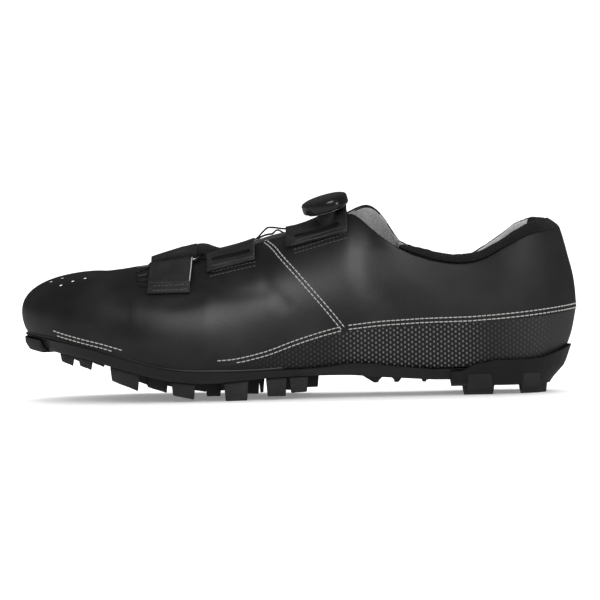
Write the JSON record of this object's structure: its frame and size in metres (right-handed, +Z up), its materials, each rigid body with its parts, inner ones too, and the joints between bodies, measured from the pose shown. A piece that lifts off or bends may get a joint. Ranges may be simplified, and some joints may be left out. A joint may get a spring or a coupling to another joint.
{
  "type": "cycling shoe",
  "caption": "Low black off-road cycling shoe with a stiff lugged sole, a hollow leather upper, a forefoot strap and a wire lace with a turning dial.",
  "frame": {"origin": "middle of the footprint box, on the floor that the lugs stand on", "axes": "+X towards the heel, -X towards the toe, -Y the outer side, +Z up"},
  "size_m": [0.285, 0.1, 0.1045],
  "materials": {
    "upper_leather": "smooth satin synthetic leather",
    "sole_shell": "glossy moulded shell",
    "tread_rubber": "matte rubber",
    "collar_lining": "soft brushed lining",
    "insole_lining": "grey knitted lining",
    "strap_fabric": "coated webbing",
    "ring_metal": "brushed steel",
    "dial_plastic": "satin plastic",
    "lace_wire": "dark coated steel wire"
  },
  "bodies": {
    "root": {"upper": "upper_leather", "sole_shell": "sole_shell", "insole": "insole_lining", "tongue": "collar_lining", "collar_pad": "collar_lining", "heel_tread": "tread_rubber", "toe_bumper": "tread_rubber", "strap_tab": "strap_fabric", "forefoot_strap": "strap_fabric", "strap_ring": "ring_metal", "lateral_lower_guide": "strap_fabric", "medial_lower_guide": "strap_fabric", "medial_upper_guide": "strap_fabric", "dial_strap": "strap_fabric", "dial_base": "dial_plastic", "dial_knob": "dial_plastic", "lace_wire": "lace_wire", "lateral_toe_stud": "tread_rubber", "medial_toe_stud": "tread_rubber", "lateral_toe_block": "tread_rubber", "medial_toe_block": "tread_rubber", "lateral_front_block": "tread_rubber", "medial_front_block": "tread_rubber", "lateral_front_inner_block": "tread_rubber", "medial_front_inner_block": "tread_rubber", "lateral_ball_block": "tread_rubber", "medial_ball_block": "tread_rubber", "lateral_ball_inner_stud": "tread_rubber", "medial_ball_inner_stud": "tread_rubber", "lateral_ground_block": "tread_rubber", "medial_ground_block": "tread_rubber", "lateral_rear_inner_bar": "tread_rubber", "medial_rear_inner_bar": "tread_rubber", "lateral_middle_block": "tread_rubber", "medial_middle_block": "tread_rubber", "lateral_waist_block": "tread_rubber", "medial_waist_block": "tread_rubber"}
  },
  "joints": []
}
